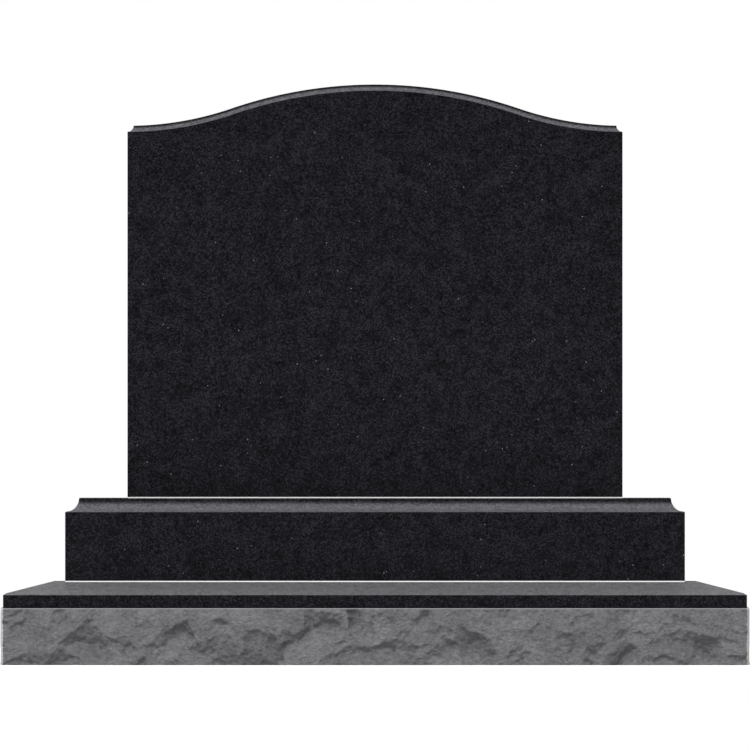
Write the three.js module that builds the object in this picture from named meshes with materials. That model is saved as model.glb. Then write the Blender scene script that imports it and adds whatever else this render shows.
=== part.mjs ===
// A headstone of four stones, stacked and jointed: an upright tablet with a swept crown, a coved
// base, a wide bevelled plate and a rock-faced foundation. Millimetres and radians, +Z up, with the
// front towards -Y. The origin is the middle of the foundation's flat underside.

import * as THREE from 'three';

// Tablet: a round crown that turns through two hollows into level shoulders
const TABLET_WIDTH = 900;
const TABLET_THICKNESS = 100;
const TABLET_HEIGHT = 750;
const CROWN_RISE = 75;
const CROWN_SPAN = 522;
const TABLET_COVE = 11;

// Base: how far it stands out past the tablet, and the cove along its top edges
const BASE_END_MARGIN = 112.5;
const BASE_FACE_MARGIN = 100;
const BASE_HEIGHT = 150;
const BASE_COVE = 25;

// Plate: a level ledge round the base, then a long bevel down to an upright fascia
const PLATE_LEDGE = 22.5;
const BEVEL_RUN = 89;
const BEVEL_RISE = 23;
const FASCIA_HEIGHT = 24;

// Beds of pale jointing compound under the tablet and under the base
const BED_THICKNESS = 2;
const BED_RECESS = 0.1;

// Foundation: rock-faced sides between straight arrises. The front and back swell out past the
// arrises, and the rock of the two ends lies behind them.
const FOUNDATION_LIP = 4.5;
const FOUNDATION_HEIGHT = 103;
const ROCK_SWELL = 16;
const PITCHED_TOP = 2;
const PITCHED_CORNER = 4;
const ROCK_SEEDS = { front: 402, right: 23, back: 37, left: 41 };

// Chips struck off the rock faces: their spacing along and across the grain, how deep they went, how
// steeply the ledge above each is undercut, and how far one chip differs from the next
const CHIP_LENGTH = 130;
const CHIP_HEIGHT = 50;
const CHIP_FACE = 70;
const SHALLOWEST_CHIP = 4;
const DEEPEST_CHIP = 16;
const DEPTH_RARITY = 1.4;
const LEAST_UNDERCUT = 0.23;
const MOST_UNDERCUT = 0.48;
const SMALLEST_CHIP = 0.5;
const CHIP_GRAIN = THREE.MathUtils.degToRad(20);
const CHIP_TURN = THREE.MathUtils.degToRad(60);

// How the chips' edges wander: how far and over what length, with further and finer wandering on top,
// each half as long as the last
const WANDER = 16;
const WANDER_LENGTH = 70;
const WANDER_FADE = 0.55;
const WANDER_OCTAVES = 3;
const WANDER_LATTICE = 64;

// Fineness of the facets
const CROWN_FACETS = 48;
const COVE_FACETS = 7;
const ROCK_CELL = 13;

// The rule of the repeatable numbers that scatter the chips
const RANDOM_FACTOR = 1664525;
const RANDOM_STEP = 1013904223;
const RANDOM_RANGE = 2 ** 32;

const POLISHED_BLACK = { color: 0x1e1e22, roughness: 0.15, metalness: 0 };
const HONED_BLACK = { color: 0x666669, roughness: 0.35, metalness: 0 };
const JOINTING = { color: 0xd8d7d2, roughness: 0.9, metalness: 0 };
const ROCK_GREY = { color: 0x696869, roughness: 0.95, metalness: 0 };

// Plan sizes and levels, each worked out from the stone that it carries or stands on
const baseWidth = TABLET_WIDTH + 2 * BASE_END_MARGIN;
const baseDepth = TABLET_THICKNESS + 2 * BASE_FACE_MARGIN;
const plateTopWidth = baseWidth + 2 * PLATE_LEDGE;
const plateTopDepth = baseDepth + 2 * PLATE_LEDGE;
const plateWidth = plateTopWidth + 2 * BEVEL_RUN;
const plateDepth = plateTopDepth + 2 * BEVEL_RUN;
const foundationWidth = plateWidth + 2 * FOUNDATION_LIP;
const foundationDepth = plateDepth + 2 * FOUNDATION_LIP;
const plateLevel = FOUNDATION_HEIGHT;
const baseBedLevel = plateLevel + FASCIA_HEIGHT + BEVEL_RISE;
const baseLevel = baseBedLevel + BED_THICKNESS;
const tabletBedLevel = baseLevel + BASE_HEIGHT;
const tabletLevel = tabletBedLevel + BED_THICKNESS;

// The crown's arc and the hollows' arcs touch where they meet, and the hollows end level over the
// tablet's ends. That fixes the sum of their radii.
const halfTablet = TABLET_WIDTH / 2;
const radiusSum = (halfTablet ** 2 + CROWN_RISE ** 2) / (2 * CROWN_RISE);
const crownRadius = (radiusSum * CROWN_SPAN) / TABLET_WIDTH;
const hollowRadius = radiusSum - crownRadius;

// A closed solid through rings that lie one above the other. Each ring runs anticlockwise as seen
// from above and has the same number of points. cap gives the triangles that close a ring.
function loft(rings, cap) {
  const count = rings[0].length;
  const points = rings.flat();
  const faces = [];
  for (let level = 0; level + 1 < rings.length; level += 1) {
    for (let i = 0; i < count; i += 1) {
      const here = level * count + i;
      const next = level * count + ((i + 1) % count);
      faces.push(here, next, next + count);
      faces.push(here, next + count, here + count);
    }
  }
  for (const [a, b, c] of cap(points, 0, count)) {
    faces.push(a, c, b);
  }
  for (const [a, b, c] of cap(points, (rings.length - 1) * count, count)) {
    faces.push(a, b, c);
  }
  const geometry = new THREE.BufferGeometry().setFromPoints(points);
  geometry.setIndex(faces);
  return geometry;
}

// Closes a ring whose front and back rows have the same stations, with strips from front to back
function stripCap(points, start, count) {
  const faces = [];
  for (let i = 0; i + 1 < count / 2; i += 1) {
    const front = start + i;
    const back = start + count - 1 - i;
    faces.push([front, front + 1, back - 1]);
    faces.push([front, back - 1, back]);
  }
  return faces;
}

// Closes a level ring with triangles round one new point in its middle
function fanCap(points, start, count) {
  const middle = points.length;
  points.push(new THREE.Vector3(0, 0, points[start].z));
  const faces = [];
  for (let i = 0; i < count; i += 1) {
    faces.push([start + i, start + ((i + 1) % count), middle]);
  }
  return faces;
}

// A ring round a rectangle, with stations along the front and the back. height gives the level of
// the ring at x.
function rectangleRing(width, depth, height, facets = 1) {
  const front = [];
  for (let i = 0; i <= facets; i += 1) {
    const x = width * (i / facets - 1 / 2);
    front.push(new THREE.Vector3(x, -depth / 2, height(x)));
  }
  const back = front.map((p) => new THREE.Vector3(p.x, -p.y, p.z)).reverse();
  return [...front, ...back];
}

// The steps of a cove, a hollow quarter circle about the edge that it takes away, from the face up
// to the top: how far each step lies inside the face, and how far under the top
function coveSteps(radius) {
  const steps = [];
  for (let i = 0; i <= COVE_FACETS; i += 1) {
    const angle = (i / COVE_FACETS) * (Math.PI / 2);
    steps.push({ inset: radius * Math.sin(angle), drop: radius * Math.cos(angle) });
  }
  return steps;
}

// Height over the tablet's foot of the curve that runs a given drop inside its swept top edge
function sweptTop(x, drop) {
  const across = Math.abs(x);
  const crown = crownRadius - drop;
  const hollow = hollowRadius + drop;
  if (across <= (crown * halfTablet) / radiusSum) {
    return TABLET_HEIGHT - crownRadius + Math.sqrt(crown ** 2 - across ** 2);
  }
  const shoulder = TABLET_HEIGHT - CROWN_RISE;
  return shoulder + hollowRadius - Math.sqrt(hollow ** 2 - (halfTablet - across) ** 2);
}

function tabletGeometry() {
  const rings = [rectangleRing(TABLET_WIDTH, TABLET_THICKNESS, () => 0, CROWN_FACETS)];
  for (const { inset, drop } of coveSteps(TABLET_COVE)) {
    const width = TABLET_WIDTH - 2 * inset;
    const depth = TABLET_THICKNESS - 2 * inset;
    rings.push(rectangleRing(width, depth, (x) => sweptTop(x, drop), CROWN_FACETS));
  }
  return loft(rings, stripCap);
}

function baseGeometry() {
  const rings = [rectangleRing(baseWidth, baseDepth, () => 0)];
  for (const { inset, drop } of coveSteps(BASE_COVE)) {
    rings.push(rectangleRing(baseWidth - 2 * inset, baseDepth - 2 * inset, () => BASE_HEIGHT - drop));
  }
  return loft(rings, stripCap);
}

function plateGeometry() {
  const rings = [
    rectangleRing(plateWidth, plateDepth, () => 0),
    rectangleRing(plateWidth, plateDepth, () => FASCIA_HEIGHT),
    rectangleRing(plateTopWidth, plateTopDepth, () => FASCIA_HEIGHT + BEVEL_RISE),
  ];
  return loft(rings, stripCap);
}

function bedGeometry(stoneWidth, stoneDepth) {
  const width = stoneWidth - 2 * BED_RECESS;
  const depth = stoneDepth - 2 * BED_RECESS;
  return new THREE.BoxGeometry(width, depth, BED_THICKNESS).translate(0, 0, BED_THICKNESS / 2);
}

// Repeatable numbers from 0 up to 1
function numberSource(seed) {
  let state = seed;
  return () => {
    state = (state * RANDOM_FACTOR + RANDOM_STEP) % RANDOM_RANGE;
    return state / RANDOM_RANGE;
  };
}

// A square table of numbers from 0 up to 1
function numberLattice(next) {
  const row = () => Array.from({ length: WANDER_LATTICE }, next);
  return Array.from({ length: WANDER_LATTICE }, row);
}

// The lattice repeats beyond its sides
function wrap(index) {
  return THREE.MathUtils.euclideanModulo(index, WANDER_LATTICE);
}

// A number from -1 to 1 that changes smoothly from place to place, over about the given length
function softNoise(u, v, length, lattice) {
  const column = Math.floor(u / length);
  const row = Math.floor(v / length);
  const corner = (i, j) => lattice[wrap(row + j)][wrap(column + i)];
  const a = THREE.MathUtils.smoothstep(u / length - column, 0, 1);
  const b = THREE.MathUtils.smoothstep(v / length - row, 0, 1);
  const low = THREE.MathUtils.lerp(corner(0, 0), corner(1, 0), a);
  const high = THREE.MathUtils.lerp(corner(0, 1), corner(1, 1), a);
  return 2 * THREE.MathUtils.lerp(low, high, b) - 1;
}

// Moves places on a rock face a little, so that the chips' edges wander
function wanderer(seed) {
  const next = numberSource(seed);
  const octaves = [];
  for (let octave = 0; octave < WANDER_OCTAVES; octave += 1) {
    octaves.push({
      length: WANDER_LENGTH / 2 ** octave,
      reach: WANDER * WANDER_FADE ** octave,
      sideways: numberLattice(next),
      upward: numberLattice(next),
    });
  }
  return (u, v) => {
    const moved = { u, v };
    for (const { length, reach, sideways, upward } of octaves) {
      moved.u += reach * softNoise(u, v, length, sideways);
      moved.v += reach * softNoise(u, v, length, upward);
    }
    return moved;
  };
}

// Chips scattered over a rock face, one to each cell of a grid that lies along the grain
function scatterChips(length, height, seed) {
  const columns = Math.ceil((length / 2 + height) / CHIP_LENGTH) + 1;
  const rows = Math.ceil(((length / 2) * Math.sin(CHIP_GRAIN) + height) / CHIP_HEIGHT) + 1;
  const next = numberSource(seed);
  const chips = [];
  for (let row = -rows; row <= rows; row += 1) {
    for (let column = -columns; column <= columns; column += 1) {
      const along = (column + next()) * CHIP_LENGTH;
      const across = (row + next()) * CHIP_HEIGHT;
      const depth = THREE.MathUtils.lerp(SHALLOWEST_CHIP, DEEPEST_CHIP, next() ** DEPTH_RARITY);
      const turn = CHIP_GRAIN + (next() - 1 / 2) * CHIP_TURN;
      const undercut = THREE.MathUtils.lerp(LEAST_UNDERCUT, MOST_UNDERCUT, next());
      const size = THREE.MathUtils.lerp(SMALLEST_CHIP, 1, next());
      chips.push({
        u: along * Math.cos(CHIP_GRAIN) - across * Math.sin(CHIP_GRAIN),
        v: along * Math.sin(CHIP_GRAIN) + across * Math.cos(CHIP_GRAIN),
        depth,
        turn,
        undercut,
        reach: (size * CHIP_LENGTH) / 2,
        face: size * CHIP_FACE,
      });
    }
  }
  return chips;
}

// How far a rock face stands out of its lowest plane, as a function of u along it from its middle
// and v up it. Each chip left a hollow that rises gently below and to the sides, and at one slope to
// the ledge above it. The stone is as proud as the lowest hollow allows, up to the swell.
function rockFace(length, height, seed) {
  const chips = scatterChips(length, height, seed);
  const wander = wanderer(seed);
  return (u, v) => {
    const place = wander(u, v);
    let proud = ROCK_SWELL;
    for (const { u: chipU, v: chipV, depth, turn, undercut, reach, face } of chips) {
      const du = place.u - chipU;
      const dv = place.v - chipV;
      const along = du * Math.cos(turn) + dv * Math.sin(turn);
      const across = dv * Math.cos(turn) - du * Math.sin(turn);
      const rise = across > 0 ? undercut * across : depth * (across / face) ** 2;
      proud = Math.min(proud, ROCK_SWELL - depth + depth * (along / reach) ** 2 + rise);
    }
    return proud;
  };
}

// Places along a length from 0: both ends, a short step from each, and even steps of about one cell
// between
function stations(length, step) {
  const inner = length - 2 * step;
  const cells = Math.max(Math.round(inner / ROCK_CELL), 1);
  const places = [0];
  for (let i = 0; i <= cells; i += 1) {
    places.push(step + (inner * i) / cells);
  }
  places.push(length);
  return places;
}

// One side of the foundation, turned to its place. sunk is how far the arrises' plane lies in
// front of the rock's lowest plane. The rock comes back to the arrises at the top and at both ends,
// and runs on down to the ground.
function rockSide(length, offset, sunk, seed, turn) {
  const proud = rockFace(length, FOUNDATION_HEIGHT, seed);
  const axis = new THREE.Vector3(0, 0, 1);
  const point = (place, z) => {
    const u = place - length / 2;
    const corner = Math.min(place, length - place) / PITCHED_CORNER;
    const share = Math.min((FOUNDATION_HEIGHT - z) / PITCHED_TOP, corner, 1);
    const out = offset + (proud(u, z) - sunk) * share;
    return new THREE.Vector3(u, -out, z).applyAxisAngle(axis, turn);
  };
  // The last point of a side is the first of the next, so it is left to that one
  const places = stations(length, PITCHED_CORNER).slice(0, -1);
  return (z) => places.map((place) => point(place, z));
}

function foundationGeometry() {
  const endOffset = foundationWidth / 2;
  const faceOffset = foundationDepth / 2;
  const sides = [
    rockSide(foundationWidth, faceOffset, 0, ROCK_SEEDS.front, 0),
    rockSide(foundationDepth, endOffset, ROCK_SWELL, ROCK_SEEDS.right, Math.PI / 2),
    rockSide(foundationWidth, faceOffset, 0, ROCK_SEEDS.back, Math.PI),
    rockSide(foundationDepth, endOffset, ROCK_SWELL, ROCK_SEEDS.left, -Math.PI / 2),
  ];
  const levels = stations(FOUNDATION_HEIGHT, PITCHED_TOP);
  const rings = levels.map((z) => sides.flatMap((side) => side(z)));
  return loft(rings, fanCap);
}

function stone(name, geometry, finish, level) {
  const mesh = new THREE.Mesh(geometry, new THREE.MeshStandardMaterial({ ...finish, flatShading: true }));
  mesh.name = name;
  mesh.position.z = level;
  return mesh;
}

const headstone = new THREE.Group();
headstone.name = 'headstone';
headstone.add(
  stone('foundation', foundationGeometry(), ROCK_GREY, 0),
  stone('plate', plateGeometry(), HONED_BLACK, plateLevel),
  stone('base_bed', bedGeometry(baseWidth, baseDepth), JOINTING, baseBedLevel),
  stone('base', baseGeometry(), POLISHED_BLACK, baseLevel),
  stone('tablet_bed', bedGeometry(TABLET_WIDTH, TABLET_THICKNESS), JOINTING, tabletBedLevel),
  stone('tablet', tabletGeometry(), POLISHED_BLACK, tabletLevel),
);

export default headstone;
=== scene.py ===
# A headstone of four stones: the stones' fine meshes, their materials, and a plain studio.
import math

import bpy
import numpy as np
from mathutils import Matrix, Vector


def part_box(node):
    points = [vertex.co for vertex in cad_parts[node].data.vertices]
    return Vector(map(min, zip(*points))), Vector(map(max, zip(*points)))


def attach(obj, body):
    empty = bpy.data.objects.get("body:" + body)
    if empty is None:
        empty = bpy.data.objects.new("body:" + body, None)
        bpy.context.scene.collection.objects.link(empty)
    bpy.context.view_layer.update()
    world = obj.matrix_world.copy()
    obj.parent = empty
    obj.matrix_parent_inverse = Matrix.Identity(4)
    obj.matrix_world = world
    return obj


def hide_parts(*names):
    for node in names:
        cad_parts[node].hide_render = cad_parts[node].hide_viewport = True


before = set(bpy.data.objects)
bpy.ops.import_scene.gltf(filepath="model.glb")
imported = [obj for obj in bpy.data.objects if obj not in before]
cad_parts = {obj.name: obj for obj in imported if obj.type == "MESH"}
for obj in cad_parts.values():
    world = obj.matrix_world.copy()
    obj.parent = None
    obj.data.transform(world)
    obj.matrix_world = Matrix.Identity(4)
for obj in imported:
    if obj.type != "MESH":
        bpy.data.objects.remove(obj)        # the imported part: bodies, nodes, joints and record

# All lengths are metres and all angles radians. The stones' outer sizes come from the frame, and
# these values give the forms inside them.
MM = 0.001
CROWN_RISE = 75 * MM
CROWN_SPAN = 522 * MM
TABLET_COVE = 11 * MM
BASE_COVE = 25 * MM
BEVEL_RUN = 89 * MM
FASCIA_HEIGHT = 24 * MM
PITCHED_TOP = 2 * MM
PITCHED_CORNER = 4 * MM
ROCK_SWELL = 16 * MM

# Eased arrises, and the fineness of the curved meshes
STONE_EASE = 0.7 * MM
COVE_EASE = 0.7 * MM
EASE_FACETS = 4
SHARP_TURN = math.radians(30)
COVE_FACETS = 16
CROWN_STATIONS = 160
STRAIGHT_STATIONS = 1
SMOOTH_ANGLE = math.radians(40)

# A cove is grey by how far its outline leans inwards, partly a honed finish and partly a painted
# reflection of the sky, from 0 where it is upright to 1 where it is level: not at all up to the first
# value, and fully from the second
HONE_SHEEN_NONE = 0.2
HONE_SHEEN_FULL = 0.62

# Joint beds: their faces are struck a little hollow, and their line wanders a little inwards
BED_STATION = 7 * MM
BED_ROWS = 5
BED_HOLLOW = 0.05 * MM
BED_RAGGED = 0.1 * MM
BED_SEED = 5

# Chips of the rock faces. The big ones are the part's, and the middling and the fine ones are struck
# inside them. Each kind has its spacing along and across the grain, its height below the ledge, how
# deep it went, how steep the ledge above it is, and how far one chip differs from the next.
CHIP_GRAIN = math.radians(20)
BIG_CHIPS = {
    "length": 130 * MM, "height": 50 * MM, "face": 70 * MM, "shallow": 4 * MM, "deep": 16 * MM,
    "rarity": 1.4, "gentle": 0.23, "steep": 0.48, "smallest": 0.5, "turn": math.radians(60),
}
MIDDLING_CHIPS = {
    "length": 60 * MM, "height": 24 * MM, "face": 34 * MM, "shallow": 0.4 * MM, "deep": 6 * MM,
    "rarity": 1.8, "gentle": 0.25, "steep": 0.55, "smallest": 0.5, "turn": math.radians(80),
}
FINE_CHIPS = {
    "length": 20 * MM, "height": 8 * MM, "face": 11 * MM, "shallow": 0.2 * MM, "deep": 1.6 * MM,
    "rarity": 1.5, "gentle": 0.2, "steep": 0.5, "smallest": 0.5, "turn": math.radians(90),
}
ROCK_SEEDS = {"front": 402, "right": 23, "back": 37, "left": 41}
MIDDLING_SEED_STEP = 100
GRIT_SEED_STEP = 200
FINE_SEED_STEP = 300
ROCK_CELL = 2.05 * MM

# How far round a place, in cells, its surroundings reach when its hollow is measured
HOLLOW_CELLS = 5

# How the chips' edges wander, as in the part but finer, and the grit of the broken stone
LATTICE = 64
WANDER = {"reach": 16 * MM, "length": 70 * MM, "fade": 0.55, "octaves": 6}
GRIT = {"reach": 0.7 * MM, "length": 8 * MM, "fade": 0.75, "octaves": 3}

# The rule of the repeatable numbers that scatter the chips
RANDOM_FACTOR = 1664525
RANDOM_STEP = 1013904223
RANDOM_RANGE = 2 ** 32

# Black granite. Its crystals, its fine grain and its clouds are added up, each times its share, and
# the sum chooses a colour between the stops.
CRYSTAL = 2.2 * MM
FINE_GRAIN = 2.6 * MM
CLOUD = 20 * MM
POLISHED_SHARES = (0.40, 0.38, 0.42)
POLISHED_STOPS = (
    (0.38, (0.0007, 0.0007, 0.0011)),
    (0.60, (0.0068, 0.0068, 0.0086)),
    (0.80, (0.0171, 0.0171, 0.0213)),
)
HONED_SHARES = (0.45, 0.5, 0.25)
COVE_STOPS = ((0.44, (0.0385, 0.0385, 0.0444)), (0.76, (0.098, 0.098, 0.1065)))
LEDGE_STOPS = ((0.44, (0.050, 0.050, 0.0536)), (0.76, (0.1374, 0.1374, 0.1417)))
POLISHED_ROUGHNESS = 0.06
HONED_ROUGHNESS = 0.5

# Pale flecks in the polish: few of the cells have one, it lies at the middle of its cell, and its edge
# fades over this part of the cell's size
FLECK_CELL = 5 * MM
FLECK_RARITY = (0.995, 0.999)
FLECK_EDGE = (0.13, 0.20)
FLECK_COLOUR = (0.23, 0.23, 0.25)

# Jointing compound, grey in the upper joint and white in the lower
COMPOUND_GRAIN = 3 * MM
GREY_STOPS = ((0.3, (0.75, 0.75, 0.74)), (0.7, (0.80, 0.80, 0.79)))
WHITE_STOPS = ((0.3, (0.94, 0.94, 0.93)), (0.7, (0.98, 0.98, 0.975)))
COMPOUND_ROUGHNESS = 0.9
PIT_SIZE = 0.8 * MM
PIT_DEPTH = 0.1 * MM

# Broken granite: its crystals, its strokes along the chips' grain and its clouds, as for the black
ROCK_CRYSTAL = 2 * MM
ROCK_STROKE = 7 * MM
STROKE_FLATNESS = 2
STROKE_DEPTH = 2.5 * MM
STROKE_STRENGTH = 0.8
ROCK_CLOUD = 45 * MM
ROCK_SHARES = (0.12, 0.55, 0.33)
ROCK_STOPS = ((0.34, (0.0684, 0.0684, 0.0726)), (0.66, (0.1635, 0.1635, 0.1685)))
ROCK_ROUGHNESS = 0.85
ROCK_SHINE = 0.3

# Painted shade on broken granite: colour darkened where shade falls, on slopes that hang over, in
# hollows, and on the undersides of the big, middling and fine ledges, each times its share, up to the
# most
OVERHANG = (0.1, 0.5)
HOLLOW_DEPTH = (0.2 * MM, 2.5 * MM)
PAINTED_SHADE_SHARES = (0.3, 0.2, 0.17, 0.11, 0.08)
MOST_PAINTED_SHADE = 0.5
PAINTED_SHADE_COLOUR = (0.0342, 0.0342, 0.0362)

# What pales it: a bruise that is partly a painted highlight, along its upright corners, whose width a
# noise varies, and along its top
BRUISE_AND_HIGHLIGHT_COLOUR = (0.42, 0.42, 0.42)
CORNER_NOISE = 6 * MM
CORNER_VARIES = 8 * MM
CORNER_EDGE = (7.9 * MM, 8.5 * MM)
CORNER_BRUISE_AND_HIGHLIGHT = 0.95
TOP_EDGE = (0.5 * MM, 1.4 * MM)
TOP_BRUISE_AND_HIGHLIGHT = 0.54

# The photograph's view: a straight front elevation, 750 by 750 pixels, at one scale
PIXEL = 1.8145 * MM
IMAGE_PIXELS = 750
VIEW_CENTRE_Z = 525.7 * MM
VIEW_PLANE_Y = -170 * MM
LENS_MM = 1600
SENSOR_MM = 36

# The studio's brightness by height, from straight down at -1 to straight up at 1, and its floor
SKY = (
    (-0.7, (0.32, 0.32, 0.32)),
    (-0.06, (0.085, 0.085, 0.093)),
    (0.35, (0.085, 0.085, 0.093)),
    (0.8, (0.6, 0.6, 0.6)),
)
WHITE = (1, 1, 1)
FLOOR_HALF = 4.0
FLOOR_COLOUR = (0.8, 0.8, 0.8)
FLOOR_ROUGHNESS = 0.9
FLOOR_SHINE = 0.1

# The soft lights: how high each stands, how far round from the front, and how wide it looks
LIGHTS = {
    "overhead": {
        "elevation": math.radians(58), "azimuth": math.radians(-12), "width": math.radians(50),
        "strength": 4.4,
    },
    "behind": {
        "elevation": math.radians(25), "azimuth": math.radians(200), "width": math.radians(70),
        "strength": 1.6,
    },
}

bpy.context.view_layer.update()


def number_source(seed):
    """Repeatable numbers from 0 up to 1."""
    state = seed

    def next_number():
        nonlocal state
        state = (state * RANDOM_FACTOR + RANDOM_STEP) % RANDOM_RANGE
        return state / RANDOM_RANGE

    return next_number


def number_lattice(pick):
    """A square table of numbers from 0 up to 1."""
    return np.array([pick() for _ in range(LATTICE ** 2)]).reshape(LATTICE, LATTICE)


def smoothstep(low, high, value):
    """0 up to the low value, 1 from the high value, and a soft rise between them."""
    t = np.clip((value - low) / (high - low), 0, 1)
    return t * t * (3 - 2 * t)


def soft_noise(u, v, length, lattice):
    """Numbers from -1 to 1 that change smoothly from place to place, over about a length."""
    column, row = np.floor(u / length), np.floor(v / length)
    a = smoothstep(0, 1, u / length - column)
    b = smoothstep(0, 1, v / length - row)
    left, low = column.astype(int) % LATTICE, row.astype(int) % LATTICE
    right, high = (left + 1) % LATTICE, (low + 1) % LATTICE
    below = lattice[low, left] * (1 - a) + lattice[low, right] * a
    above = lattice[high, left] * (1 - a) + lattice[high, right] * a
    return 2 * (below * (1 - b) + above * b) - 1


# Meshes

def make_piece(name, points, faces, node):
    """A smooth-shaded piece that stands for a node of the frame."""
    mesh = bpy.data.meshes.new(name)
    mesh.from_pydata(points, [], faces)
    mesh.shade_smooth()
    mesh.set_sharp_from_angle(angle=SMOOTH_ANGLE)
    piece = bpy.data.objects.new(name, mesh)
    bpy.context.collection.objects.link(piece)
    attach(piece, "root")
    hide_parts(node)
    return piece


def paint(piece, name, values):
    """Gives every vertex of a piece a number that its material reads."""
    attribute = piece.data.attributes.new(name, "FLOAT", "POINT")
    attribute.data.foreach_set("value", np.asarray(values, dtype=np.float32))


def weigh_normals(piece):
    """Keeps the broad faces flat beside their eased arrises."""
    modifier = piece.modifiers.new("weighted", "WEIGHTED_NORMAL")
    modifier.keep_sharp = True
    depsgraph = bpy.context.evaluated_depsgraph_get()
    mesh = bpy.data.meshes.new_from_object(piece.evaluated_get(depsgraph))
    piece.modifiers.clear()
    piece.data = mesh


def plan_ring(half_x, half_y, corner, stations):
    """x and y round a rectangle with eased corners, anticlockwise from the left front corner.
    The back half mirrors the front half, last point first."""
    turn = np.linspace(0, math.pi / 2, EASE_FACETS + 1)
    arc_x = half_x - corner + corner * np.cos(turn)
    arc_y = half_y - corner + corner * np.sin(turn)
    row = np.linspace(corner - half_x, half_x - corner, stations + 1)[1:-1]
    front_x = np.concatenate([-arc_x, row, arc_x[::-1]])
    front_y = -np.concatenate([arc_y, np.full(row.shape, half_y), arc_y[::-1]])
    return np.concatenate([front_x, front_x[::-1]]), np.concatenate([front_y, -front_y[::-1]])


def ring_at(half_x, half_y, inset, stations, height):
    """The points of a ring an inset inside a stone's outline. Its height is a number, or is worked
    out from x."""
    x, y = plan_ring(half_x - inset, half_y - inset, STONE_EASE, stations)
    z = height(x) if callable(height) else np.full(x.shape, height)
    return np.stack([x, y, z], axis=1)


def loft_walls(levels, count):
    """Quads between rings that lie one above the other."""
    faces = []
    for level in range(levels - 1):
        for i in range(count):
            here = level * count + i
            after = level * count + (i + 1) % count
            faces.append((here, after, after + count, here + count))
    return faces


def loft_faces(levels, count):
    """The walls of a loft, and the strips from front to back that close its two ends."""
    faces = loft_walls(levels, count)
    top = (levels - 1) * count
    for i in range(count // 2 - 1):
        faces.append((count - 1 - i, count - 2 - i, i + 1, i))
        faces.append((top + i, top + i + 1, top + count - 2 - i, top + count - 1 - i))
    return faces


def loft(name, rings, node):
    points = np.concatenate(rings)
    return make_piece(name, points.tolist(), loft_faces(len(rings), len(rings[0])), node)


def honed_loft(name, rings, hone_and_sheen, node):
    """A loft with each ring given a share of its own of honed grey, which on the coves is partly a
    painted reflection of the sky.
    """
    piece = loft(name, rings, node)
    paint(piece, "hone_and_sheen", np.repeat(hone_and_sheen, len(rings[0])))
    return piece


def eased(profile, radius):
    """An open line of (inset, height) points with its sharp corners rounded."""
    line = [profile[0]]
    for before, corner, after in zip(profile, profile[1:], profile[2:]):
        into = (corner - before).normalized()
        out = (after - corner).normalized()
        turn = into.angle(out)
        if turn < SHARP_TURN:
            line.append(corner)
            continue
        reach = radius * math.tan(turn / 2)
        for step in range(EASE_FACETS + 1):
            t = step / EASE_FACETS
            start, end = corner - into * reach, corner + out * reach
            line.append(start * (1 - t) ** 2 + corner * (2 * t * (1 - t)) + end * t ** 2)
    line.append(profile[-1])
    return line


# Stones

def stone_box(node):
    """A stone's lowest and highest corners, and its half width and half depth."""
    low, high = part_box(node)
    size = high - low
    return low, high, size.x / 2, size.y / 2


def foot_line(far):
    """The eased lower arris of a stone, as (inset, height over its foot)."""
    corner = [Vector((far, 0)), Vector((0, 0)), Vector((0, far))]
    return eased(corner, STONE_EASE)[1:-1]


def cove(radius):
    """A hollow quarter circle about the edge that it takes away, from the face up to the top, as
    (inset, height over the top)."""
    angles = np.linspace(0, math.pi / 2, COVE_FACETS + 1)
    return [Vector((radius * math.sin(a), -radius * math.cos(a))) for a in angles]


def cove_hone_and_sheen(line, radius):
    """How grey each point of an eased cove profile is, more as it lies more level: a honed finish and a
    painted reflection of the sky. The hollow is grey, and its upright lip isn't.
    """
    hone_and_sheen = []
    for before, point, after in zip(line, line[1:], line[2:]):
        along = (after - before).normalized()
        inside = COVE_EASE / 2 < point.x < radius and -radius - COVE_EASE / 4 < point.y < 0
        hone_and_sheen.append(float(smoothstep(HONE_SHEEN_NONE, HONE_SHEEN_FULL, along.x)) if inside else 0.0)
    return hone_and_sheen


def swept_top(half_width, crown_z, drop):
    """The curve that runs a given drop inside the tablet's top edge: the crown's arc and the
    hollows' arcs touch where they meet, and the hollows end level over the tablet's ends."""
    radius_sum = (half_width ** 2 + CROWN_RISE ** 2) / (2 * CROWN_RISE)
    crown_radius = radius_sum * CROWN_SPAN / (2 * half_width)
    hollow_radius = radius_sum - crown_radius
    crown = crown_radius - drop
    hollow = hollow_radius + drop
    turn = crown * half_width / radius_sum

    def height(x):
        across = np.minimum(np.abs(x), half_width)
        on_crown = crown_z - crown_radius + np.sqrt(crown ** 2 - np.minimum(across, turn) ** 2)
        beyond = half_width - np.maximum(across, turn)
        on_hollow = crown_z - CROWN_RISE + hollow_radius - np.sqrt(hollow ** 2 - beyond ** 2)
        return np.where(across <= turn, on_crown, on_hollow)

    return height


def level_top(half_width, top_z, drop):
    """The height a given drop below a level top, whatever the width."""
    return top_z - drop


def make_coved_stone(name, node, radius, stations, top):
    """A polished stone with a cove along its top edge, which follows the given top. The cove is grey
    where it lies level, from a honed finish and a painted reflection of the sky.
    """
    low, high, half_x, half_y = stone_box(node)
    far = half_y / 2
    foot = foot_line(far)
    line = eased([Vector((0, -far)), *cove(radius), Vector((far, 0))], COVE_EASE)
    rings = [ring_at(half_x, half_y, point.x, stations, low.z + point.y) for point in foot]
    for point in line[1:-1]:
        rings.append(ring_at(half_x, half_y, point.x, stations, top(half_x, high.z, -point.y)))
    # the cove's grey, honed finish and painted sky reflection, grows as the cove lies more level
    hone_and_sheen = [0.0] * len(foot) + cove_hone_and_sheen(line, radius)
    return honed_loft(name, rings, hone_and_sheen, node)


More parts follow.
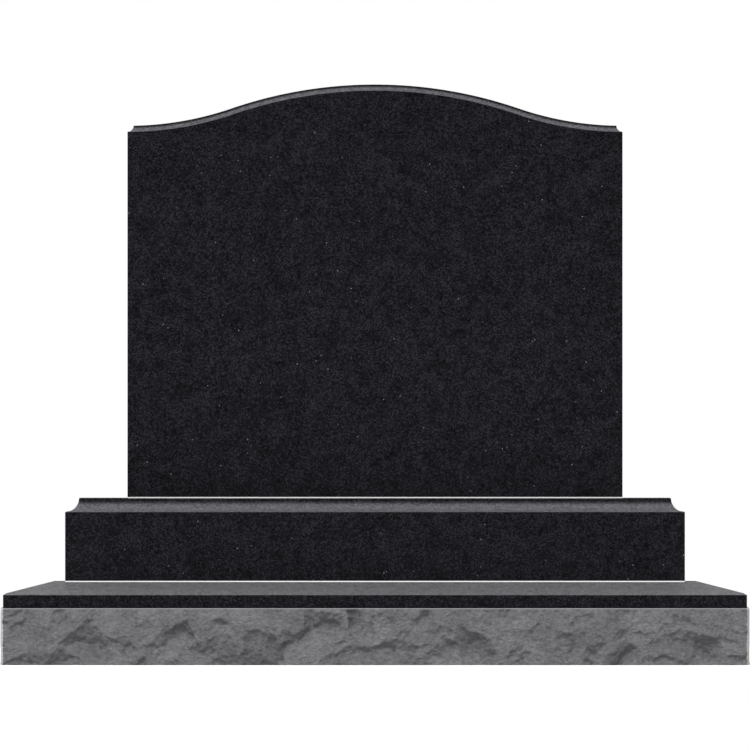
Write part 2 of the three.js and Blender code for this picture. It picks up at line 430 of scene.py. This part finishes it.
def make_plate():
    """A low stone with a polished fascia, and a honed bevel and ledge above it."""
    low, high, half_x, half_y = stone_box("plate")
    profile = [
        Vector((BEVEL_RUN, 0)), Vector((0, 0)), Vector((0, FASCIA_HEIGHT)),
        Vector((BEVEL_RUN, high.z - low.z)),
    ]
    line = eased(profile, STONE_EASE)[1:]
    rings = [
        ring_at(half_x, half_y, point.x, STRAIGHT_STATIONS, low.z + point.y) for point in line
    ]
    hone_and_sheen = [float(point.y > FASCIA_HEIGHT) for point in line]
    return honed_loft("bevelled_plate", rings, hone_and_sheen, "plate")


def make_bed(name, node):
    """A joint bed whose edge is hollowed between the stones and wanders a little."""
    low, high, half_x, half_y = stone_box(node)
    stations = round(2 * half_x / BED_STATION)
    lattice = number_lattice(number_source(BED_SEED))
    rings = []
    for row in range(BED_ROWS):
        share = row / (BED_ROWS - 1)
        hollow = BED_HOLLOW * math.sin(math.pi * share)
        ring = ring_at(half_x, half_y, hollow, stations, low.z + share * (high.z - low.z))
        ragged = BED_RAGGED * (1 + soft_noise(ring[:, 0], ring[:, 1], BED_STATION, lattice)) / 2
        ring[:, :2] -= np.sign(ring[:, :2]) * ragged[:, None]
        rings.append(ring)
    return loft(name, rings, node)


# Rock faces

def scatter_chips(length, height, seed, kind):
    """Chips over a rock face, one to each cell of a grid that lies along the grain."""
    cos, sin = math.cos(CHIP_GRAIN), math.sin(CHIP_GRAIN)
    columns = math.ceil((length / 2 + height) / kind["length"]) + 1
    rows = math.ceil((length / 2 * sin + height) / kind["height"]) + 1
    pick = number_source(seed)
    chips = []
    for row in range(-rows, rows + 1):
        for column in range(-columns, columns + 1):
            along = (column + pick()) * kind["length"]
            across = (row + pick()) * kind["height"]
            depth = kind["shallow"] + (kind["deep"] - kind["shallow"]) * pick() ** kind["rarity"]
            turn = CHIP_GRAIN + (pick() - 1 / 2) * kind["turn"]
            undercut = kind["gentle"] + (kind["steep"] - kind["gentle"]) * pick()
            size = kind["smallest"] + (1 - kind["smallest"]) * pick()
            place = (along * cos - across * sin, along * sin + across * cos)
            chips.append((place, depth, turn, undercut, size))
    return chips


def octaves(rule):
    """The reach and the length of each layer of a noise, each half as long as the last."""
    reach, length, fade = rule["reach"], rule["length"], rule["fade"]
    return [(reach * fade ** k, length / 2 ** k) for k in range(rule["octaves"])]


def struck(places, u, v, chips, kind):
    """How much stone the chips left over their lowest plane, and which of it is a ledge's underside.
    Each hollow rises gently below and to the sides, and at one slope to the ledge above it."""
    left = np.full(u.shape, kind["deep"])
    ledge = np.zeros(u.shape)
    strayed = sum(reach for reach, length in octaves(WANDER))
    for (chip_u, chip_v), depth, turn, undercut, size in chips:
        span = strayed + max(kind["length"] / 2, kind["face"], depth / undercut)
        start, stop = np.searchsorted(places, (chip_u - span, chip_u + span))
        if start == stop or not -span < chip_v < v.max() + span:
            continue
        near = (slice(None), slice(start, stop))
        cos, sin = math.cos(turn), math.sin(turn)
        du, dv = u[near] - chip_u, v[near] - chip_v
        along = du * cos + dv * sin
        across = dv * cos - du * sin
        rise = np.where(across > 0, undercut * across, depth * (across / size / kind["face"]) ** 2)
        hollow = kind["deep"] - depth + depth * (2 * along / size / kind["length"]) ** 2 + rise
        ledge[near] = np.where(hollow < left[near], across > 0, ledge[near])
        left[near] = np.minimum(left[near], hollow)
    return left, ledge


def wandered(u, v, seed):
    """Places on a rock face moved a little, so that the chips' edges wander."""
    pick = number_source(seed)
    moved_u, moved_v = u.copy(), v.copy()
    for reach, length in octaves(WANDER):
        moved_u += reach * soft_noise(u, v, length, number_lattice(pick))
        moved_v += reach * soft_noise(u, v, length, number_lattice(pick))
    return moved_u, moved_v


def grit(u, v, seed):
    """The small rises and falls of the broken stone."""
    pick = number_source(seed)
    layers = [reach * soft_noise(u, v, length, number_lattice(pick)) for reach, length in octaves(GRIT)]
    return sum(layers)


def blurred(values, cells):
    """A running mean over a square that reaches so many cells each way."""
    width = 2 * cells
    for axis in (0, 1):
        padded = np.concatenate([
            np.repeat(np.take(values, [0], axis), cells, axis),
            values,
            np.repeat(np.take(values, [-1], axis), cells, axis),
        ], axis)
        total = np.cumsum(padded, axis)
        count = total.shape[axis]
        upper = np.take(total, range(width, count), axis)
        lower = np.take(total, range(0, count - width), axis)
        values = (upper - lower) / width
    return values


def fine_stations(length, step):
    """Places along a length: even cells, with cells of their own on the edges' short steps."""
    inner = length - 2 * step
    edge = np.linspace(0, step, math.ceil(step / ROCK_CELL) + 1)[:-1]
    middle = np.linspace(step, step + inner, round(inner / ROCK_CELL) + 1)
    return np.concatenate([edge, middle, length - edge[::-1]])


def rock_side(length, height, sunk, seed):
    """Relief and paint of one side as arrays of rows by columns, the last column left out."""
    places = fine_stations(length, PITCHED_CORNER)[:-1]
    levels = fine_stations(height, PITCHED_TOP)
    across = places - length / 2
    u, v = np.meshgrid(across, levels)
    moved = wandered(u, v, seed)

    def chipped(kind, seed_step):
        return struck(across, *moved, scatter_chips(length, height, seed + seed_step, kind), kind)

    proud, ledge = chipped(BIG_CHIPS, 0)
    middling, split = chipped(MIDDLING_CHIPS, MIDDLING_SEED_STEP)
    fine, nick = chipped(FINE_CHIPS, FINE_SEED_STEP)
    proud += middling - MIDDLING_CHIPS["deep"] + fine - FINE_CHIPS["deep"]
    proud += grit(u, v, seed + GRIT_SEED_STEP)
    slope = np.gradient(proud, levels, axis=0)
    hollow = blurred(proud, HOLLOW_CELLS) - proud
    corner = length / 2 - np.abs(u)
    share = np.minimum.reduce([(height - v) / PITCHED_TOP, corner / PITCHED_CORNER, np.ones(u.shape)])
    relief = (np.clip(proud, 0, ROCK_SWELL) - sunk) * share
    paints = {
        "slope": slope, "hollow": hollow, "ledge": ledge, "split": split, "nick": nick,
        "corner": corner, "top": height - v,
    }
    return places, relief, paints


def rock_walls(height, half_x, half_y):
    """x and y round the foundation as arrays of rows by columns, and its paint. The front and the
    back swell out over their arrises, and the ends stay behind theirs."""
    face_y = half_y - ROCK_SWELL
    sides = (
        (2 * half_x, face_y, 0, "front", lambda u, out: (u, -out)),
        (2 * face_y, half_x, ROCK_SWELL, "right", lambda u, out: (out, u)),
        (2 * half_x, face_y, 0, "back", lambda u, out: (-u, out)),
        (2 * face_y, half_x, ROCK_SWELL, "left", lambda u, out: (-out, -u)),
    )
    x, y, paints = [], [], {}
    for length, offset, sunk, name, turned in sides:
        places, relief, side_paints = rock_side(length, height, sunk, ROCK_SEEDS[name])
        side_x, side_y = turned(np.broadcast_to(places - length / 2, relief.shape), offset + relief)
        x.append(side_x)
        y.append(side_y)
        for key, values in side_paints.items():
            paints.setdefault(key, []).append(values)
    return np.hstack(x), np.hstack(y), {key: np.hstack(arrays) for key, arrays in paints.items()}


def make_foundation():
    """The rock-faced stone: its four sides, closed by a fan of triangles below and one above."""
    low, high, half_x, half_y = stone_box("foundation")
    height = high.z - low.z
    x, y, paints = rock_walls(height, half_x, half_y)
    rows, count = x.shape
    z = np.broadcast_to(low.z + fine_stations(height, PITCHED_TOP)[:, None], x.shape)
    points = np.stack([x, y, z], axis=-1).reshape(-1, 3).tolist()
    faces = loft_walls(rows, count)
    foot, head, top = len(points), len(points) + 1, (rows - 1) * count
    for i in range(count):
        after = (i + 1) % count
        faces.append((after, i, foot))
        faces.append((top + i, top + after, head))
    points += [(0, 0, low.z), (0, 0, high.z)]
    piece = make_piece("rock_faced_foundation", points, faces, "foundation")
    for key, values in paints.items():
        paint(piece, key, np.append(values.ravel(), (0, 0)))
    return piece


# Materials

def opaque(colour):
    return (*colour, 1)


def set_stops(ramp, stops):
    """Gives a ramp node its stops, as (position, colour). A new one starts midway, so that it lies
    between the node's own first and last."""
    elements = ramp.color_ramp.elements
    while len(elements) < len(stops):
        elements.new(1 / 2)
    for element, (position, colour) in zip(elements, stops):
        element.position = position
        element.color = opaque(colour)


class Shader:
    """A material's node tree, with the principled shader in place."""

    # A mix node's colour sockets, by number because its other kinds of value share their names
    MIX_FIRST = 6
    MIX_SECOND = 7
    MIX_RESULT = 2

    def __init__(self, name):
        self.material = bpy.data.materials.new(name)
        self.material.use_nodes = True
        self.tree = self.material.node_tree
        self.surface = self.tree.nodes["Principled BSDF"]

    def feed(self, socket, value):
        if isinstance(value, bpy.types.NodeSocket):
            self.tree.links.new(value, socket)
        else:
            socket.default_value = value

    def finish(self, values):
        """Gives the surface its values or the sockets that work them out, and hands it over."""
        for name, value in values.items():
            self.feed(self.surface.inputs[name], value)
        return self.material

    def add(self, kind, inputs, **settings):
        node = self.tree.nodes.new(kind)
        for name, value in settings.items():
            setattr(node, name, value)
        for key, value in inputs.items():
            self.feed(node.inputs[key], value)
        return node

    def maths(self, operation, first, second):
        return self.add("ShaderNodeMath", {0: first, 1: second}, operation=operation).outputs[0]

    def mixed(self, values, shares):
        """The sum of several values, each times its share."""
        parts = [self.maths("MULTIPLY", value, share) for value, share in zip(values, shares)]
        total = parts[0]
        for part in parts[1:]:
            total = self.maths("ADD", total, part)
        return total

    def place(self):
        return self.add("ShaderNodeTexCoord", {}).outputs["Object"]

    def grain(self, size, detail=2.0, roughness=0.5, place=None):
        """Soft noise with features of about the given size, from 0 to 1."""
        inputs = {
            "Vector": place or self.place(), "Scale": 1 / size, "Detail": detail,
            "Roughness": roughness,
        }
        return self.add("ShaderNodeTexNoise", inputs).outputs["Fac"]

    def cells(self, size):
        """Cells of about the given size. The colour of each is random, so a channel of it is a
        number for the cell from 0 to 1."""
        return self.add("ShaderNodeTexVoronoi", {"Vector": self.place(), "Scale": 1 / size})

    def channel(self, cells, name):
        node = self.add("ShaderNodeSeparateColor", {"Color": cells.outputs["Color"]})
        return node.outputs[name]

    def spread(self, value, span, to_low=0.0, to_high=1.0, smooth=False):
        """A value that runs from one number to another while the given one runs over its span."""
        inputs = {
            "Value": value, "From Min": span[0], "From Max": span[1], "To Min": to_low,
            "To Max": to_high,
        }
        kind = "SMOOTHSTEP" if smooth else "LINEAR"
        return self.add("ShaderNodeMapRange", inputs, interpolation_type=kind).outputs["Result"]

    def ramp(self, value, stops):
        node = self.add("ShaderNodeValToRGB", {"Fac": value})
        set_stops(node, stops)
        return node.outputs["Color"]

    def blend(self, share, first, second):
        inputs = {"Factor": share, self.MIX_FIRST: first, self.MIX_SECOND: second}
        return self.add("ShaderNodeMix", inputs, data_type="RGBA").outputs[self.MIX_RESULT]

    def attribute(self, name):
        return self.add("ShaderNodeAttribute", {}, attribute_name=name).outputs["Fac"]

    def bump(self, height, distance, strength=1.0):
        inputs = {"Height": height, "Distance": distance, "Strength": strength}
        return self.add("ShaderNodeBump", inputs).outputs["Normal"]


def black_granite(name, honed_stops):
    """Black granite, polished to a mirror where its share of grey is 0 and grey where it is 1: rubbed
    to a hone, and on the coves also a painted reflection of the sky. The crystals are a few millimetres
    long, and lie in darker and paler clouds."""
    shader = Shader(name)
    crystal = shader.channel(shader.cells(CRYSTAL), "Red")
    fine = shader.grain(FINE_GRAIN, detail=2.0, roughness=0.6)
    cloud = shader.grain(CLOUD, detail=3.0, roughness=0.6)
    figure = (crystal, fine, cloud)
    polished = shader.ramp(shader.mixed(figure, POLISHED_SHARES), POLISHED_STOPS)
    honed = shader.ramp(shader.mixed(figure, HONED_SHARES), honed_stops)
    flecks = shader.cells(FLECK_CELL)
    rare = shader.spread(shader.channel(flecks, "Green"), FLECK_RARITY)
    near = shader.spread(flecks.outputs["Distance"], FLECK_EDGE, to_low=1.0, to_high=0.0)
    polished = shader.blend(shader.maths("MULTIPLY", rare, near), polished, opaque(FLECK_COLOUR))
    hone_and_sheen = shader.attribute("hone_and_sheen")
    roughness = shader.spread(hone_and_sheen, (0, 1), to_low=POLISHED_ROUGHNESS, to_high=HONED_ROUGHNESS)
    return shader.finish({"Base Color": shader.blend(hone_and_sheen, polished, honed), "Roughness": roughness})


def jointing_compound(name, stops):
    """A matt compound with a faint grain and small pits."""
    shader = Shader(name)
    return shader.finish({
        "Base Color": shader.ramp(shader.grain(COMPOUND_GRAIN, detail=3.0, roughness=0.6), stops),
        "Roughness": COMPOUND_ROUGHNESS,
        "Normal": shader.bump(shader.grain(PIT_SIZE), PIT_DEPTH),
    })


def rock_faced_granite():
    """Grey granite as the pitching tool leaves it: grainy, with shade painted dark under the ledges and
    in the hollows, and pale along the arrises, a bruise that is partly a painted highlight."""
    shader = Shader("rock_faced_granite")
    along_grain = shader.add("ShaderNodeMapping", {
        "Vector": shader.place(), "Scale": (1, 1, STROKE_FLATNESS), "Rotation": (0, -CHIP_GRAIN, 0),
    }).outputs["Vector"]
    speckle = shader.channel(shader.cells(ROCK_CRYSTAL), "Red")
    strokes = shader.grain(ROCK_STROKE, detail=4.0, roughness=0.65, place=along_grain)
    cloud = shader.grain(ROCK_CLOUD, detail=4.0, roughness=0.6)
    stone = shader.ramp(shader.mixed((speckle, strokes, cloud), ROCK_SHARES), ROCK_STOPS)

    # Painted shade: darker colour on overhanging slopes, in hollows and under the ledges
    under = shader.spread(shader.attribute("slope"), OVERHANG, smooth=True)
    deep = shader.spread(shader.attribute("hollow"), HOLLOW_DEPTH, smooth=True)
    ledges = [shader.attribute(name) for name in ("ledge", "split", "nick")]
    painted_shade = shader.maths("MINIMUM", shader.mixed((under, deep, *ledges), PAINTED_SHADE_SHARES), MOST_PAINTED_SHADE)
    stone = shader.blend(painted_shade, stone, opaque(PAINTED_SHADE_COLOUR))

    # Pale arrises: bruise colour, partly a painted highlight along the corners and the top
    noise = shader.grain(CORNER_NOISE, detail=3.0, roughness=0.7)
    corner_band = shader.mixed((shader.attribute("corner"), noise), (1, CORNER_VARIES))
    corner = shader.spread(corner_band, CORNER_EDGE, to_low=CORNER_BRUISE_AND_HIGHLIGHT, to_high=0.0, smooth=True)
    over = shader.attribute("top")
    top = shader.spread(over, TOP_EDGE, to_low=TOP_BRUISE_AND_HIGHLIGHT, to_high=0.0, smooth=True)
    stone = shader.blend(shader.maths("MAXIMUM", corner, top), stone, opaque(BRUISE_AND_HIGHLIGHT_COLOUR))
    return shader.finish({
        "Base Color": stone,
        "Roughness": ROCK_ROUGHNESS,
        "Specular IOR Level": ROCK_SHINE,
        "Normal": shader.bump(strokes, STROKE_DEPTH, STROKE_STRENGTH),
    })


def dress(piece, material):
    piece.data.materials.clear()
    piece.data.materials.append(material)


# Studio

def make_floor():
    """A pale floor that reflects light up and isn't mirrored in the polish."""
    half = FLOOR_HALF
    mesh = bpy.data.meshes.new("floor")
    corners = [(-half, -half, 0), (half, -half, 0), (half, half, 0), (-half, half, 0)]
    mesh.from_pydata(corners, [], [(0, 1, 2, 3)])
    floor = bpy.data.objects.new("floor", mesh)
    bpy.context.collection.objects.link(floor)
    dress(floor, Shader("pale_floor").finish({
        "Base Color": opaque(FLOOR_COLOUR),
        "Roughness": FLOOR_ROUGHNESS,
        "Specular IOR Level": FLOOR_SHINE,
    }))
    floor.visible_glossy = False


def make_world():
    """White to the camera. To everything else, a sky that is dim at the horizon and bright above.
    Below the horizon, where the floor hides it from all but the mirrors, it is of middling grey."""
    world = bpy.data.worlds.new("studio")
    bpy.context.scene.world = world
    world.use_nodes = True
    nodes, links = world.node_tree.nodes, world.node_tree.links
    nodes.clear()
    up = nodes.new("ShaderNodeSeparateXYZ")
    links.new(nodes.new("ShaderNodeTexCoord").outputs["Generated"], up.inputs[0])
    level = nodes.new("ShaderNodeMapRange")
    level.inputs["From Min"].default_value = -1
    links.new(up.outputs["Z"], level.inputs["Value"])
    ramp = nodes.new("ShaderNodeValToRGB")
    links.new(level.outputs["Result"], ramp.inputs["Fac"])
    set_stops(ramp, [((1 + height) / 2, colour) for height, colour in SKY])
    sky = nodes.new("ShaderNodeBackground")
    links.new(ramp.outputs["Color"], sky.inputs["Color"])
    backdrop = nodes.new("ShaderNodeBackground")
    backdrop.inputs["Color"].default_value = opaque(WHITE)
    chooser = nodes.new("ShaderNodeMixShader")
    links.new(nodes.new("ShaderNodeLightPath").outputs["Is Camera Ray"], chooser.inputs["Fac"])
    links.new(sky.outputs[0], chooser.inputs[1])
    links.new(backdrop.outputs[0], chooser.inputs[2])
    output = nodes.new("ShaderNodeOutputWorld")
    links.new(chooser.outputs[0], output.inputs["Surface"])


def make_sun(name, elevation, azimuth, width, strength):
    """A wide soft light from far off. Azimuth 0 shines from the front, and it isn't mirrored."""
    data = bpy.data.lights.new(name, "SUN")
    data.angle = width
    data.energy = strength
    sun = bpy.data.objects.new(name, data)
    sun.rotation_euler = (math.pi / 2 - elevation, 0, azimuth)
    sun.visible_glossy = False
    bpy.context.collection.objects.link(sun)


def make_camera():
    """A camera so far off that its view is all but the photograph's flat elevation."""
    data = bpy.data.cameras.new("camera")
    data.sensor_width = SENSOR_MM
    data.lens = LENS_MM
    distance = PIXEL * IMAGE_PIXELS * LENS_MM / SENSOR_MM
    data.clip_end = 2 * distance
    camera = bpy.data.objects.new("camera", data)
    camera.location = (0, VIEW_PLANE_Y - distance, VIEW_CENTRE_Z)
    camera.rotation_euler = (math.pi / 2, 0, 0)
    bpy.context.collection.objects.link(camera)
    bpy.context.scene.camera = camera


coved = black_granite("polished_black_granite", COVE_STOPS)
ledged = black_granite("honed_black_granite", LEDGE_STOPS)
tablet = make_coved_stone("polished_tablet", "tablet", TABLET_COVE, CROWN_STATIONS, swept_top)
base = make_coved_stone("coved_base", "base", BASE_COVE, STRAIGHT_STATIONS, level_top)
for stone, material in ((tablet, coved), (base, coved), (make_plate(), ledged)):
    weigh_normals(stone)
    dress(stone, material)
dress(make_bed("tablet_joint", "tablet_bed"), jointing_compound("grey_compound", GREY_STOPS))
dress(make_bed("base_joint", "base_bed"), jointing_compound("white_compound", WHITE_STOPS))
dress(make_foundation(), rock_faced_granite())

make_floor()
make_world()
for name, light in LIGHTS.items():
    make_sun(name, **light)
make_camera()
bpy.context.scene.view_settings.view_transform = "Standard"
